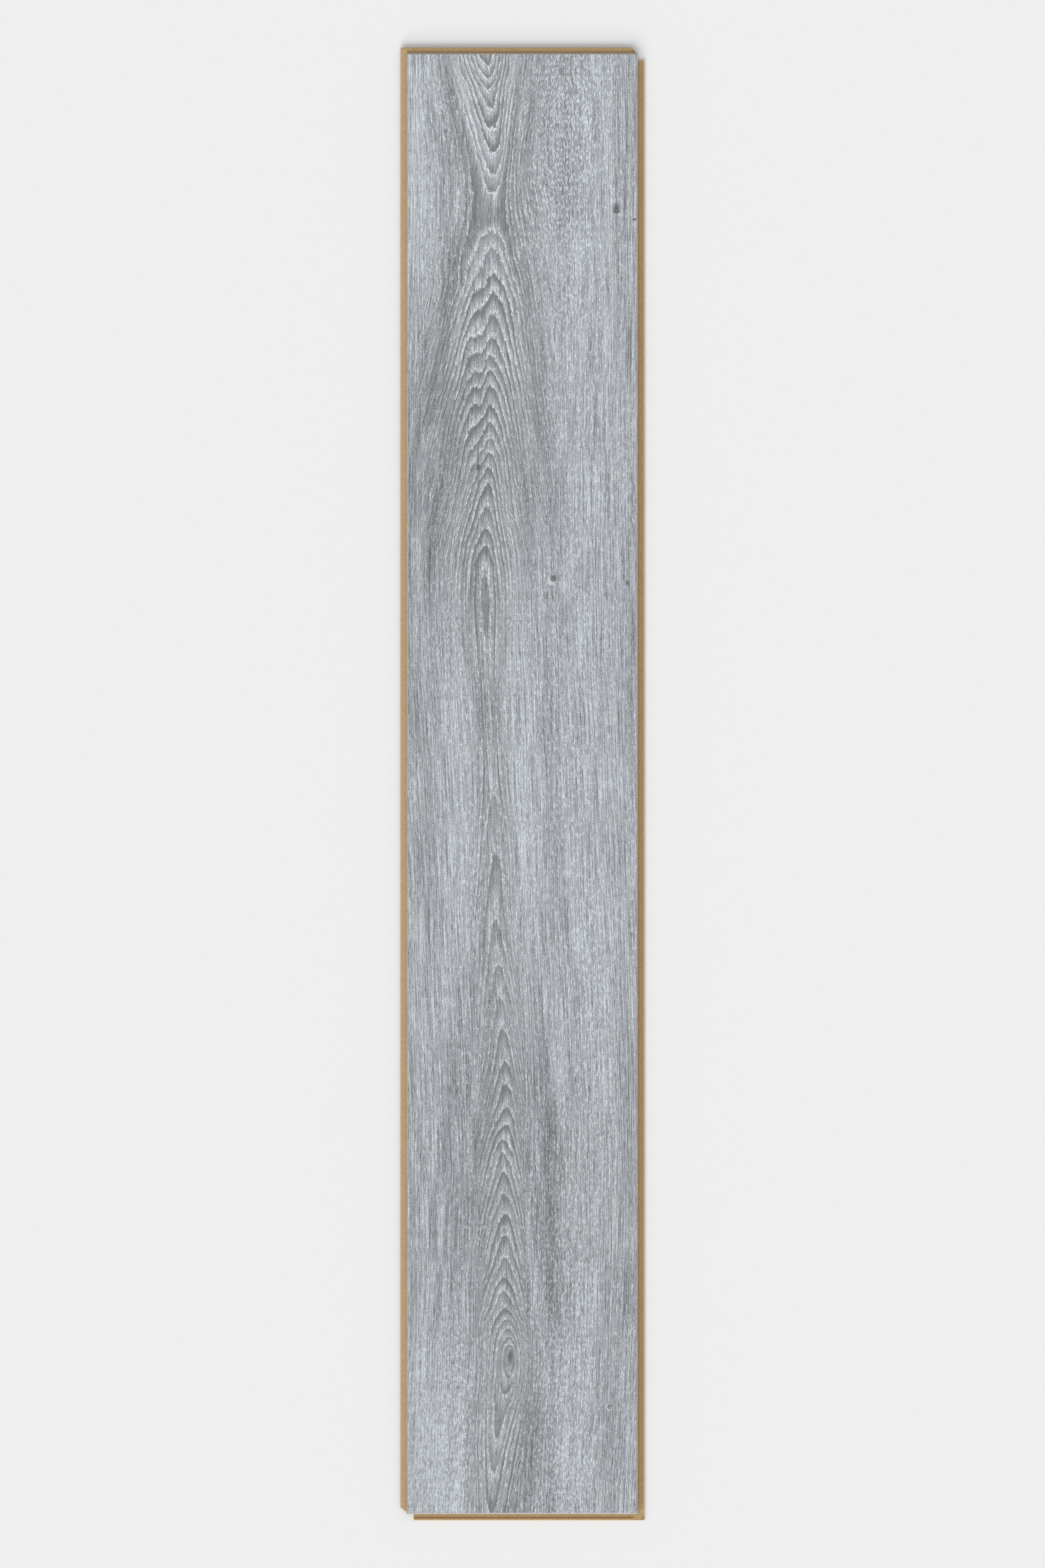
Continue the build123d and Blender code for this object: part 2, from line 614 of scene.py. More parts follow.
    def flank(self, x: Array, y: Array) -> Array:
        """Where the fibres run along the rings' sides: where the rings are close, short of the edges.

        Args:
            x: Places across, in millimetres.
            y: Places along, in millimetres.

        Returns:
            Shares from 0 to 1.
        """
        close = np.abs(self.rings(x + 1, y) - self.rings(x - 1, y)) / 2
        soft = np.minimum(smooth_track(self.jag_keys, y, 30), 1)
        past_arch = ease(self.out(x, y), 1.25 * soft, 0.6 + 1.5 * soft)
        past_flank = ease(np.abs(self.offset(x, y)), 40, 68)
        return ease(close, 0.125, 0.27) * (1 - np.maximum(past_flank, past_arch))

    def calm(self, x: Array, y: Array) -> Array:
        """Share of the saddle's smooth dark waist at each place, from 0 to 1."""
        return self.saddle.waist(self.rings(x, y), self.offset(x, y), y)

    def shade(self, x: Array, y: Array) -> Array:
        """Slow light and dark.

        It sums bands along the rings near the arches, streaks and stripes along the board, broad areas, the
        saddle's waist, one dark year beside the far arches, and a darker near half.

        Args:
            x: Places across, in millimetres.
            y: Places along, in millimetres.

        Returns:
            Values of about -2 to 2, paler above 0.
        """
        u = self.flow(x, y)
        s = np.abs(self.offset(x, y))
        rings = self.rings(x, y)
        beside = np.clip((s - 8) / 10, 0, 1) * np.clip((70 - s) / 25, 0, 1)
        bands = lattice_noise(rings / 2.4, y / 300, 9) * beside
        dark_year = np.exp(-(((rings - self.dark_year) / self.dark_year_half) ** 2))
        dark_year *= ease(y, 120, 260) * ease(s, 8, 14)
        streaks = 0.6 * lattice_noise(u / 11, y / 160, 12) + 0.5 * lattice_noise(u / 4.5, y / 90, 10)
        left = smooth_track(self.left_tones, y, 30) / (1 + np.exp((x + 25) / 9))
        areas = left + np.exp(-(((x - 60) / 20) ** 2)) * smooth_track(self.right_tones, y, 30)
        stripes = sum(streak.at(x + 1.5 * self.wander(x, y), y) for streak in self.streaks)
        shade = self.band_gain * bands + self.streak_gain * streaks * (1 - 0.5 * beside)
        shade += self.area_gain * areas + stripes - self.waist_loss * self.calm(x, y)
        return shade - self.year_loss * dark_year - self.near_loss * ease(-y, 100, 300)

    def relief(self, x: Array, y: Array) -> Array:
        """Depth pressed into the face: late wood low, early wood high, and long soft furrows.

        Args:
            x: Places across, in millimetres.
            y: Places along, in millimetres.

        Returns:
            Depths in millimetres.
        """
        part = np.mod(self.rings(x, y), 1)
        late = ease(part, 0.3, 0.9) * (1 - ease(part, 0.9, 1))
        furrow = lattice_noise(self.flow(x, y) / 3.2, y / 26, 11)
        return self.late_depth * late * self.contrast(x, y) + self.furrow_depth * (1 + furrow)


def add_node(tree: Tree, kind: str, inputs: dict | tuple = (), **settings: object) -> bpy.types.Node:
    """Adds one node, sets its options and fills its inputs.

    Args:
        tree: The node tree that gets the node.
        kind: The node's type name.
        inputs: Values by input name, or in the inputs' order. A value is a number or a colour, a socket,
            or a node whose first output is taken.
        settings: Options of the node by name.

    Returns:
        The new node.
    """
    node = tree.nodes.new(kind)
    for name, value in settings.items():
        setattr(node, name, value)
    filled = inputs if isinstance(inputs, dict) else dict(enumerate(inputs))
    for name, value in filled.items():
        if isinstance(value, bpy.types.Node):
            value = value.outputs[0]
        if isinstance(value, bpy.types.NodeSocket):
            tree.links.new(value, node.inputs[name])
        else:
            node.inputs[name].default_value = value
    return node


def new_material(name: str) -> tuple[bpy.types.Material, Tree, bpy.types.Node]:
    """Makes an empty material with one principled shader on its output.

    Args:
        name: The material's name.

    Returns:
        The material, its node tree and its shader.
    """
    material = bpy.data.materials.new(name)
    material.use_nodes = True
    tree = material.node_tree
    tree.nodes.clear()
    shader = add_node(tree, "ShaderNodeBsdfPrincipled")
    add_node(tree, "ShaderNodeOutputMaterial", {"Surface": shader})
    return material, tree, shader


@dataclass(frozen=True)
class Spot:
    """A small mark in the print, or a small painted glint: a soft-edged oval that pulls the tone towards its
    own.
    """

    x: float
    y: float
    radius: float
    stretch: float
    tone: float
    strength: float
    softness: float
    raggedness: float = 0.35

    def mark(self, tree: Tree, place: Value, teeth: Value, tone: Value) -> bpy.types.Node:
        """Pulls the tone towards the spot's own, by how far inside the oval a place lies.

        Args:
            tree: The material's node tree.
            place: Object coordinates.
            teeth: Noise that makes the oval's edge ragged.
            tone: The tone without the mark.

        Returns:
            The tone with the mark.
        """
        size = Vector((1 / self.radius, 1 / (self.radius * self.stretch), 0))
        inputs = {"Vector": place, "Location": (-self.x * size.x, -self.y * size.y, 0), "Scale": size / MM}
        local = add_node(tree, "ShaderNodeMapping", inputs)
        reach = add_node(tree, "ShaderNodeVectorMath", (local,), operation="LENGTH").outputs["Value"]
        reach = add_node(tree, MATH, (teeth, self.raggedness, reach), operation="MULTIPLY_ADD")
        mask = add_node(tree, RANGE, (reach, 1.0, 1 - self.softness), **SMOOTH)
        mask = add_node(tree, MATH, (mask, self.strength), operation="MULTIPLY")
        pull = add_node(tree, MATH, (self.tone, tone), operation="SUBTRACT")
        return add_node(tree, MATH, (mask, pull, tone), operation="MULTIPLY_ADD")


@dataclass(frozen=True)
class PrintedOak:
    """Melamine overlay on a printed oak paper, pressed with a grain texture.

    To the eye it is matt, cool grey and streaky: pale flecks and darker late wood in the print, and a fine
    relief that follows the fibres. A size is a pattern's width and its length along the fibres in
    millimetres. Oak's pores are 0.3 mm wide and the print's dots under 0.1 mm, too fine to show, so pores
    and speckle are drawn coarser. A gain multiplies a layer, a slope is a gain and what is then added, and
    a span is where a smooth step starts and ends. Teeth are rows of width, length, shift and gain. Ring
    shares are ring numbers with the strength of their late wood, and the other rings draw theirs.
    """

    tones: tuple[tuple[float, str], ...] = (
        (0.43, "6a6b6e"), (0.49, "7b7c7f"), (0.537, "87898c"), (0.584, "929598"), (0.635, "9fa2a5"),
        (0.69, "acb0b3"), (0.745, "b9bdc0"), (0.796, "c5cacd"), (0.859, "d4dbde"), (0.93, "e4ecef"),
    )
    late_colour: str = "8b8784"
    ring_width: float = 3.4
    ring_shares: Keys = (
        (20, 0.6), (19, 0.05), (18, 0.0), (17, 0.9), (16, 1.0), (15, 0.3), (14, 0.4), (13, 0.35), (12, 0.7),
        (11, 0.7), (10, 1.1), (9, 0.6), (8, 0.2), (7, 0.5), (6, 0.7), (5, 1.0),
    )
    spots: tuple[Spot, ...] = (
        Spot(77.5, 462.0, 2.4, 7.0, 0.54, 0.5, 1.0), Spot(77.4, 472.8, 4.0, 1.6, 0.38, 0.9, 0.9),
        # The small pale spot at 78.2 mm across and 470.8 mm along is a painted glint on the far knot; the
        # other spots are marks in the print.
        Spot(77.6, 470.0, 3.0, 0.6, 0.2, 0.95, 0.6), Spot(78.2, 470.8, 0.8, 0.6, 0.82, 0.7, 0.5),
        Spot(92.3, 463.6, 1.7, 0.6, 0.15, 1.0, 0.4), Spot(18.0, 417.0, 1.6, 7.0, 0.52, 0.6, 0.9),
        Spot(-36.0, 253.0, 2.6, 9.0, 0.53, 0.6, 1.0), Spot(-36.3, 271.0, 0.8, 14.0, 0.4, 0.8, 0.7),
        Spot(-36.0, 259.7, 2.4, 1.5, 0.25, 1.0, 0.7), Spot(-5.5, 324.0, 0.6, 1.5, 0.25, 0.8, 0.6),
        Spot(16.8, 488.4, 0.5, 1.5, 0.3, 0.8, 0.6), Spot(-63.0, 536.0, 2.4, 1.4, 0.45, 0.7, 0.9),
        Spot(23.6, 166.2, 4.0, 1.1, 0.86, 0.8, 0.5), Spot(25.6, 168.6, 3.4, 1.1, 0.45, 0.9, 0.5),
        Spot(67.0, -517.0, 5.0, 2.2, 0.56, 0.5, 1.0), Spot(71.4, -511.9, 3.6, 1.0, 0.85, 0.8, 0.4),
        Spot(72.0, -511.6, 2.6, 1.0, 0.47, 0.9, 0.4), Spot(72.6, -512.3, 1.1, 1.0, 0.8, 0.7, 0.6),
        Spot(86.6, 165.0, 2.0, 1.4, 0.4, 0.8, 0.7), Spot(17.9, -344.2, 0.6, 1.5, 0.3, 0.8, 0.6),
        Spot(-16.0, -453.0, 4.5, 1.0, 0.8, 0.5, 1.0), Spot(-18.5, -477.0, 5.5, 3.6, 0.6, 0.6, 0.9),
        Spot(-9.8, -473.0, 7.6, 2.0, 0.52, 0.6, 0.8), Spot(-9.7, -470.5, 3.2, 2.3, 0.38, 0.9, 1.0),
        Spot(-9.0, -484.5, 4.0, 0.35, 0.76, 0.5, 0.8),
    )
    teeth: tuple[tuple[float, float, float, float], ...] = (
        (5.0, 14, 1.7, 0.3), (1.1, 8, 7.7, 0.32), (0.6, 4, 2.9, 0.26),
    )
    ragged_size: Size = (2.5, 9)
    coarse_size: Size = (1.35, 4.8)
    fine_size: Size = (0.9, 5.4)
    line_size: Size = (1.0, 60)
    streak_size: Size = (0.6, 9)
    speckle_size: Size = (0.5, 1.0)
    pore_size: Size = (0.75, 7)
    late_span: Span = (0.3, 1.0)
    early_span: Span = (0.6, 0.05)
    rim_span: Span = (0.22, 0.03)
    kept_span: Span = (-0.05, 0.2)
    dash_span: Span = (0.42, 0.17)
    pore_span: Span = (0.08, 0.26)
    shade_slope: Slope = (0.056, 0.681)
    late_slope: Slope = (0.8, 0.45)
    rim_slope: Slope = (0.8, 0.3)
    waist_slope: Slope = (-0.7, 1.0)
    calm_slope: Slope = (-0.55, 1.0)
    line_slope: Slope = (-0.38, 0.6)
    speckle_slope: Slope = (-0.06, 0.44)
    rough_slope: Slope = (0.1, 0.6)
    loose_gain: float = 0.85
    early_gain: float = 0.95
    fine_gain: float = 0.85
    arch_gain: float = 0.5
    streak_gain: float = 0.35
    pore_gain: float = -0.1
    fleck_gain: float = 0.22
    rim_gain: float = 0.17
    late_gain: float = -0.21
    warm_gain: float = 0.5
    sunk_gain: float = -0.4
    late_power: float = 1.5
    scatter: float = 0.85
    gloss: float = 0.25
    press_strength: float = 0.6
    press_depth: float = 0.15

    def grain(self, tree: Tree, place: Value, size: Size, shift: float) -> bpy.types.Node:
        """Noise stretched along the fibres.

        Args:
            tree: The material's node tree.
            place: Places across and along the fibres, in millimetres.
            size: A cell's width and length.
            shift: Moves the pattern, so that no two grains agree.

        Returns:
            Values of about -0.5 to 0.5.
        """
        inputs = {"Location": (shift, 0.37 * shift, 0), "Scale": (1 / size[0], 1 / size[1], 0)}
        cells = add_node(tree, "ShaderNodeMapping", {"Vector": place, **inputs})
        inputs = {"Vector": cells, "Scale": 1.0, "Detail": 1.0}
        noise = add_node(tree, "ShaderNodeTexNoise", inputs, noise_dimensions="2D")
        return add_node(tree, MATH, (noise, 0.5), operation="SUBTRACT")

    def flecks(self, tree: Tree, place: Value, size: Size, shift: float, share: Value) -> bpy.types.Node:
        """Pale dashes: one in each cell of a stretched Voronoi pattern, kept in a share of the cells.

        Args:
            tree: The material's node tree.
            place: Places across and along the fibres, in millimetres.
            size: A cell's width and length.
            shift: Moves the pattern, so that two sets of dashes differ.
            share: How many of the cells keep their dash.

        Returns:
            How strongly a dash covers each place, from 0 to 1.
        """
        inputs = {"Location": (shift, 0.37 * shift, 0), "Scale": (1 / size[0], 1 / size[1], 0)}
        cells = add_node(tree, "ShaderNodeMapping", {"Vector": place, **inputs})
        inputs = {"Vector": cells, "Scale": 1.0, "Randomness": self.scatter}
        cell = add_node(tree, "ShaderNodeTexVoronoi", inputs, voronoi_dimensions="2D")
        chance = add_node(tree, "ShaderNodeSeparateXYZ", (cell.outputs["Color"],))
        spare = add_node(tree, MATH, (share, chance), operation="SUBTRACT")
        kept = add_node(tree, RANGE, (spare, *self.kept_span), **SMOOTH)
        dash = add_node(tree, RANGE, (cell.outputs["Distance"], *self.dash_span), **SMOOTH)
        return add_node(tree, MATH, (kept, dash), operation="MULTIPLY")

    def make(self) -> bpy.types.Material:
        """Builds the material: fibre places, then rings, flecks, streaks and marks summed to one tone.

        Returns:
            The material.
        """
        material, tree, shader = new_material("printed oak laminate")
        node = partial(add_node, tree)
        parts = []
        for name in ("fibre", "arch", "cover"):
            field = node("ShaderNodeAttribute", attribute_name=name, attribute_type="GEOMETRY")
            parts += node("ShaderNodeSeparateXYZ", (field.outputs["Vector"],)).outputs[:]
        straight, flank, waist, ring, contrast, bold, rice, shade, jag = parts
        spot_place = node("ShaderNodeTexCoord").outputs["Object"]
        along = node("ShaderNodeSeparateXYZ", (spot_place,)).outputs[1]
        along = node(MATH, (along, MM), operation="DIVIDE")

        # The fibres run straight, or along the rings where those are close, with a ragged change between.
        place = node("ShaderNodeCombineXYZ", (straight, along))
        ragged = node(MATH, (self.grain(tree, place, self.ragged_size, 3.1), 0.5), operation="ADD")
        choice = node(MATH, (flank, ragged), operation="GREATER_THAN")
        sideways = node(MATH, (ring, self.ring_width), operation="MULTIPLY")
        across = node("ShaderNodeMix", {"Factor": choice, "A": straight, "B": sideways})
        place = node("ShaderNodeCombineXYZ", (across, along))

        # Each ring has a jagged edge, a pale rim past it, early wood, and late wood of its own strength.
        teeth = 0.0
        for width, length, shift, gain in self.teeth:
            tooth = self.grain(tree, place, (width, length), shift)
            teeth = node(MATH, (tooth, gain, teeth), operation="MULTIPLY_ADD")
        jagged = node(MATH, (teeth, jag, ring), operation="MULTIPLY_ADD")
        part = node(MATH, (jagged,), operation="FRACT")
        number = node(MATH, (jagged,), operation="FLOOR")
        luck = node("ShaderNodeTexWhiteNoise", {"W": number}, noise_dimensions="1D")
        for ring_number, share in self.ring_shares:
            here = node(MATH, (number, ring_number, 0.5), operation="COMPARE")
            change = node(MATH, (share, luck), operation="SUBTRACT")
            luck = node(MATH, (here, change, luck), operation="MULTIPLY_ADD")
        strength = node(MATH, (luck, *self.late_slope), operation="MULTIPLY_ADD")
        strength = node(MATH, (contrast, strength), operation="MULTIPLY")
        late = node(RANGE, (part, *self.late_span), **SMOOTH)
        late = node(MATH, (late, self.late_power), operation="POWER")
        late = node(MATH, (late, strength), operation="MULTIPLY")
        early = node(RANGE, (part, *self.early_span), **SMOOTH)
        rim = node(RANGE, (part, *self.rim_span), **SMOOTH)
        rim = node(MATH, (rim, contrast), operation="MULTIPLY")
        rim = node(MATH, (rim, jag), operation="MULTIPLY")

        # Flecks fill the early wood of the arches, lie loosely elsewhere, and are few on the saddle's waist.
        loose = node(MATH, (rice, self.loose_gain), operation="MULTIPLY")
        near_edge = node(MATH, (early, self.early_gain), operation="MULTIPLY")
        near_edge = node(MATH, (near_edge, loose), operation="SUBTRACT")
        share = node(MATH, (contrast, near_edge, loose), operation="MULTIPLY_ADD")
        off_waist = node(MATH, (waist, *self.waist_slope), operation="MULTIPLY_ADD")
        share = node(MATH, (share, off_waist), operation="MULTIPLY")
        coarse = self.flecks(tree, place, self.coarse_size, 1.3, share)
        fine = self.flecks(tree, place, self.fine_size, 5.3, share)
        fine = node(MATH, (fine, self.fine_gain), operation="MULTIPLY")
        pale = node(MATH, (coarse, fine), operation="MAXIMUM")
        pale = node(MATH, (pale, bold), operation="MULTIPLY")
        broken = node(MATH, (pale, *self.rim_slope), operation="MULTIPLY_ADD")
        rim = node(MATH, (rim, broken), operation="MULTIPLY")

        # Long lines and short streaks are calmer on the arches. Speckle and pores lie over everything.
        gain = node(MATH, (rice, *self.line_slope), operation="MULTIPLY_ADD")
        lines = node(MATH, (self.grain(tree, place, self.line_size, 4.1), gain), operation="MULTIPLY")
        short = self.grain(tree, place, self.streak_size, 9.4)
        streak = node(MATH, (short, self.streak_gain, lines), operation="MULTIPLY_ADD")
        on_arch = node(MATH, (contrast, self.arch_gain), operation="MULTIPLY")
        calm = node(MATH, (late, on_arch), operation="MAXIMUM")
        calm = node(MATH, (calm, *self.calm_slope), operation="MULTIPLY_ADD")
        streak = node(MATH, (streak, calm), operation="MULTIPLY")
        gain = node(MATH, (waist, *self.speckle_slope), operation="MULTIPLY_ADD")
        speckle = node(MATH, (self.grain(tree, place, self.speckle_size, 8.8), gain), operation="MULTIPLY")
        pores = self.grain(tree, place, self.pore_size, 6.2)
        pores = node(RANGE, (pores, *self.pore_span), **SMOOTH)

        tone = node(MATH, (shade, *self.shade_slope), operation="MULTIPLY_ADD")
        tone = node(MATH, (tone, streak), operation="ADD")
        tone = node(MATH, (tone, speckle), operation="ADD")
        layers = (
            (pores, self.pore_gain), (pale, self.fleck_gain), (rim, self.rim_gain), (late, self.late_gain),
        )
        for layer, gain in layers:
            tone = node(MATH, (layer, gain, tone), operation="MULTIPLY_ADD")
        for spot in self.spots:
            tone = spot.mark(tree, spot_place, teeth, tone)

        ramp = node("ShaderNodeValToRGB", {"Fac": tone})
        while len(ramp.color_ramp.elements) < len(self.tones):
            ramp.color_ramp.elements.new(0.5)
        for stop, (position, code) in zip(ramp.color_ramp.elements, self.tones):
            stop.position = position
            stop.color = linear(code)
        warmth = node(MATH, (late, self.warm_gain), operation="MULTIPLY", use_clamp=True)
        inputs = {"Factor": warmth, "A": ramp, "B": linear(self.late_colour)}
        colour = node("ShaderNodeMix", inputs, data_type="RGBA")
        tree.links.new(colour.outputs["Result"], shader.inputs["Base Color"])
        rough = node(MATH, (pale, *self.rough_slope), operation="MULTIPLY_ADD")
        tree.links.new(rough.outputs[0], shader.inputs["Roughness"])
        shader.inputs["Specular IOR Level"].default_value = self.gloss

        height = node(MATH, (pale, self.sunk_gain, streak), operation="MULTIPLY_ADD")
        inputs = {"Height": height, "Strength": self.press_strength, "Distance": self.press_depth * MM}
        bump = node("ShaderNodeBump", inputs)
        tree.links.new(bump.outputs[0], shader.inputs["Normal"])
        return material


@dataclass(frozen=True)
class PlainFinish:
    """A finish of two colours mottled by noise, with a shallow relief.

    The size is that of the noise's cells in millimetres along X, Y and Z.
    """

    name: str
    dark: str
    pale: str
    size: tuple[float, float, float]
    roughness: float
    bump: float
    sharpness: float = 0.25

    def make(self) -> bpy.types.Material:
        """Builds the material from noise on the object's own place.

        Returns:
            The material.
        """
        material, tree, shader = new_material(self.name)
        node = partial(add_node, tree)
        place = node("ShaderNodeTexCoord").outputs["Object"]
        scale = [1 / (MM * edge) for edge in self.size]
        local = node("ShaderNodeVectorMath", (place, scale), operation="MULTIPLY")
        noise = node("ShaderNodeTexNoise", {"Vector": local, "Scale": 1.0, "Detail": 3})
        share = node(RANGE, (noise, 0.5 - self.sharpness, 0.5 + self.sharpness))
        inputs = {"Factor": share, "A": linear(self.dark), "B": linear(self.pale)}
        colour = node("ShaderNodeMix", inputs, data_type="RGBA")
        tree.links.new(colour.outputs["Result"], shader.inputs["Base Color"])
        shader.inputs["Roughness"].default_value = self.roughness
        bump = node("ShaderNodeBump", {"Height": noise, "Strength": 0.5, "Distance": self.bump * MM})
        tree.links.new(bump.outputs[0], shader.inputs["Normal"])
        return material


# High-density fibreboard cut by a milling head: tan, matt, and mottled by its pressed fibres.
MILLED_EDGE = PlainFinish("milled fibreboard", "a98a5f", "cdb083", (0.8, 0.8, 0.5), 0.85, 0.1)

# Kraft paper soaked in resin and pressed on the back: grey-tan, smooth and dull, with faint long clouds.
BACKING = PlainFinish("kraft backing paper", "b7ad9c", "c9c1b2", (1.5, 9, 1.5), 0.8, 0.05)


@dataclass(frozen=True)
class BevelPaint:
    """Thin grey paint on the cut bevels, worn through here and there to the fibreboard.

    To the eye it is a plain grey line, a little browner along the long edges, with a few tan chips.
    Stretches are a noise's cell size in millimetres and its values where the wear starts and is full.
    Chips are a place across, a place along and a radius in millimetres.
    """

    paint: str = "aeadac"
    streak: str = "9c9a98"
    worn: str = "b5a48f"
    bare: str = "cfaf82"
    stretches: tuple[tuple[tuple[float, float, float], float, float], ...] = (
        ((2, 14, 2), 0.42, 0.62), ((2.5, 75, 2.5), 0.5, 0.62),
    )
    chips: tuple[tuple[float, float, float], ...] = (
        (-33, 600, 2.6), (-23, 600, 1.8), (-60, 600, 0.7), (41, -600, 0.8), (-95, 212, 1.6), (95, -330, 2.2),
    )
    chip_height: float = 7.6
    roughness: float = 0.5

    def make(self) -> bpy.types.Material:
        """Builds the material: paint, long worn stretches, then round chips.

        Returns:
            The material.
        """
        material, tree, shader = new_material("grey bevel paint")
        node = partial(add_node, tree)
        place = node("ShaderNodeTexCoord").outputs["Object"]
        colour = linear(self.paint)
        shares = []
        for size, low, high in self.stretches:
            scale = [1 / (MM * edge) for edge in size]
            local = node("ShaderNodeVectorMath", (place, scale), operation="MULTIPLY")
            noise = node("ShaderNodeTexNoise", {"Vector": local, "Scale": 1.0, "Detail": 2})
            shares.append(node(RANGE, (noise, low, high)))
        for x, y, radius in self.chips:
            middle = (x * MM, y * MM, self.chip_height * MM)
            reach = node("ShaderNodeVectorMath", (place, middle), operation="DISTANCE").outputs["Value"]
            shares.append(node(RANGE, (reach, radius * MM, 0.6 * radius * MM)))
        for share, code in zip(shares, [self.streak, self.worn] + [self.bare] * len(self.chips)):
            inputs = {"Factor": share, "A": colour, "B": linear(code)}
            colour = node("ShaderNodeMix", inputs, data_type="RGBA").outputs["Result"]
        tree.links.new(colour, shader.inputs["Base Color"])
        shader.inputs["Roughness"].default_value = self.roughness
        return material


@dataclass(frozen=True)
class Plank:
    """The plank: two milled bars cut into each other, and its skin dressed by where each face lies.

    The skin is laid out in upright strips of a unit square, each a start and a width: the face with its
    bevels, the back, and then the four milled edges at one pitch. A lean is the upward part of a normal.
    """

    profile: ClickProfile
    figure: OakFigure
    length: float
    width: float
    columns: int = 165
    stations: int = 411
    over: float = 1.0
    overrun: float = 10.0
    edge_zone: float = 20.0
    crease: float = 18.0
    margin: float = 0.005
    face_strip: Size = (0.005, 0.795)
    back_strip: Size = (0.81, 0.05)
    edge_strip: Size = (0.865, 0.028)
    edge_pitch: float = 0.033
    bevel_lean: float = 0.75
    face_lean: float = 0.93
    back_lean: float = -0.9
    top_slack: float = 0.05
    back_slack: float = 0.01

    def bar(self, section: Array, reach: Array, turn: Array) -> bpy.types.Object:
        """Carries a closed section along a straight path and caps it.

        Args:
            section: Rows of place across and height.
            reach: Stations along the path.
            turn: Rows that turn (across, along) into (x, y).

        Returns:
            An object with the bar's mesh in millimetres, its faces outwards.
        """
        points, rows = len(section), len(reach)
        flat = np.column_stack([np.tile(section[:, 0], rows), np.repeat(reach, points)]) @ turn
        height = np.tile(section[:, 1], rows)
        if points > self.columns:
            on_face = np.tile(np.arange(points) < self.columns, rows)
            height[on_face] -= self.figure.relief(*flat[on_face].T)
        k, m = np.meshgrid(np.arange(points), np.arange(rows - 1))
        after = (k + 1) % points
        here, ahead = m * points, (m + 1) * points
        quads = np.stack([here + k, here + after, ahead + after, ahead + k], -1)
        caps = [np.arange(points)[::-1].tolist(), (np.arange(points) + (rows - 1) * points).tolist()]
        mesh = bpy.data.meshes.new("bar")
        mesh.from_pydata(np.column_stack([flat, height]), [], quads.reshape(-1, 4).tolist() + caps)
        body = bpy.data.objects.new("bar", mesh)
        bpy.context.collection.objects.link(body)
        return body

    def cut(self) -> bpy.types.Mesh:
        """Cuts the long bar to the cross bar, so that all four edges are milled.

        Loose crumbs at the two corners where a tongue meets a groove are taken away.

        Returns:
            The bars' common part, in millimetres.
        """
        ends = np.array([-self.length, self.length]) / 2 + [-self.overrun, self.overrun]
        board = self.profile.section(self.width, 0.0, self.columns)
        along = self.bar(board, np.linspace(*ends, self.stations), np.eye(2))
        cross = self.profile.section(self.length, self.over, 2)
        across = self.bar(cross, np.array([-self.width, self.width]), np.array([[0, -1], [1, 0]]))
        common = along.modifiers.new("common", "BOOLEAN")
        common.operation = "INTERSECT"
        common.solver = "EXACT"
        common.object = across
        view = bpy.context.evaluated_depsgraph_get()
        mesh = bpy.data.meshes.new_from_object(along.evaluated_get(view))
        for bar in (along, across):
            bpy.data.objects.remove(bar)
        work = bmesh.new()
        work.from_mesh(mesh)
        crumbs = set(work.verts)
        front = {max(work.verts, key=lambda corner: corner.co.z)}
        while front:
            crumbs -= front
            near = {edge.other_vert(corner) for corner in front for edge in corner.link_edges}
            front = near & crumbs
        bmesh.ops.delete(work, geom=list(crumbs), context="VERTS")
        work.to_mesh(mesh)
        work.free()
        return mesh

    def charts(self, spots: Array, face_of: Array, middle: Array, skin: Array) -> Array:
        """Lays the skin flat: face and bevels as seen from above, and each milled edge unrolled.

        A place on an edge is laid out by its distance along the edge and along the milled outline.

        Args:
            spots: Each face corner's place.
            face_of: Each corner's face number.
            middle: Each face's middle.
            skin: Each face's finish number.

        Returns:
            Rows of u and v from 0 to 1, one a corner.
        """
        half = np.array([self.width, self.length]) / 2
        tongue, groove = self.profile.tongue_edge(0.0), self.profile.groove_edge(0.0)
        full = 2 * half + 2 * self.profile.lip_reach
        share = self.margin + (1 - 2 * self.margin) * (spots[:, :2] / full + 0.5)
        on_face, on_back = (start + span * share[:, 0] for start, span in (self.face_strip, self.back_strip))
        u = np.where(skin[face_of] == Skin.BACK.value, on_back, on_face)
        v = share[:, 1].copy()
        edge = skin == Skin.CORE.value
        sides = ((0, -1, tongue), (0, 1, groove), (1, 1, tongue), (1, -1, groove))
        gaps = []
        for axis, sign, outline in sides:
            on_side = sign * middle[:, axis] > half[axis] - self.edge_zone
            out = np.column_stack([sign * middle[:, axis] - half[axis], middle[:, 2]])
            gaps.append(np.where(on_side & edge, self.along_outline(outline, out)[1], np.inf))
        nearest = np.argmin(gaps, axis=0)
        start, span = self.edge_strip
        for number, (axis, sign, outline) in enumerate(sides):
            mine = (edge & (nearest == number))[face_of]
            out = np.column_stack([sign * spots[mine, axis] - half[axis], spots[mine, 2]])
            size = np.linalg.norm(np.diff(outline, axis=0), axis=1).sum()
            run = self.along_outline(outline, out)[0] / size
            u[mine] = start + self.edge_pitch * number + span * run
            v[mine] = share[mine, 1 - axis]
        return np.column_stack([u, v])

    def along_outline(self, outline: Array, places: Array) -> tuple[Array, Array]:
        """Drops each place on the nearest stretch of an outline.

        Args:
            outline: Rows of out and height.
            places: Rows of out and height.

        Returns:
            Each place's distance along the outline, and how far off the outline it is.
        """
        step = np.diff(outline, axis=0)
        size = np.linalg.norm(step, axis=1)
        arm = places[:, None] - outline[None, :-1]
        share = np.clip((arm * step).sum(-1) / size**2, 0, 1)
        gap = np.linalg.norm(arm - share[..., None] * step, axis=-1)
        best = gap.argmin(1)
        row = np.arange(len(places))
        start = np.concatenate([[0], np.cumsum(size)[:-1]])
        return start[best] + share[row, best] * size[best], gap[row, best]

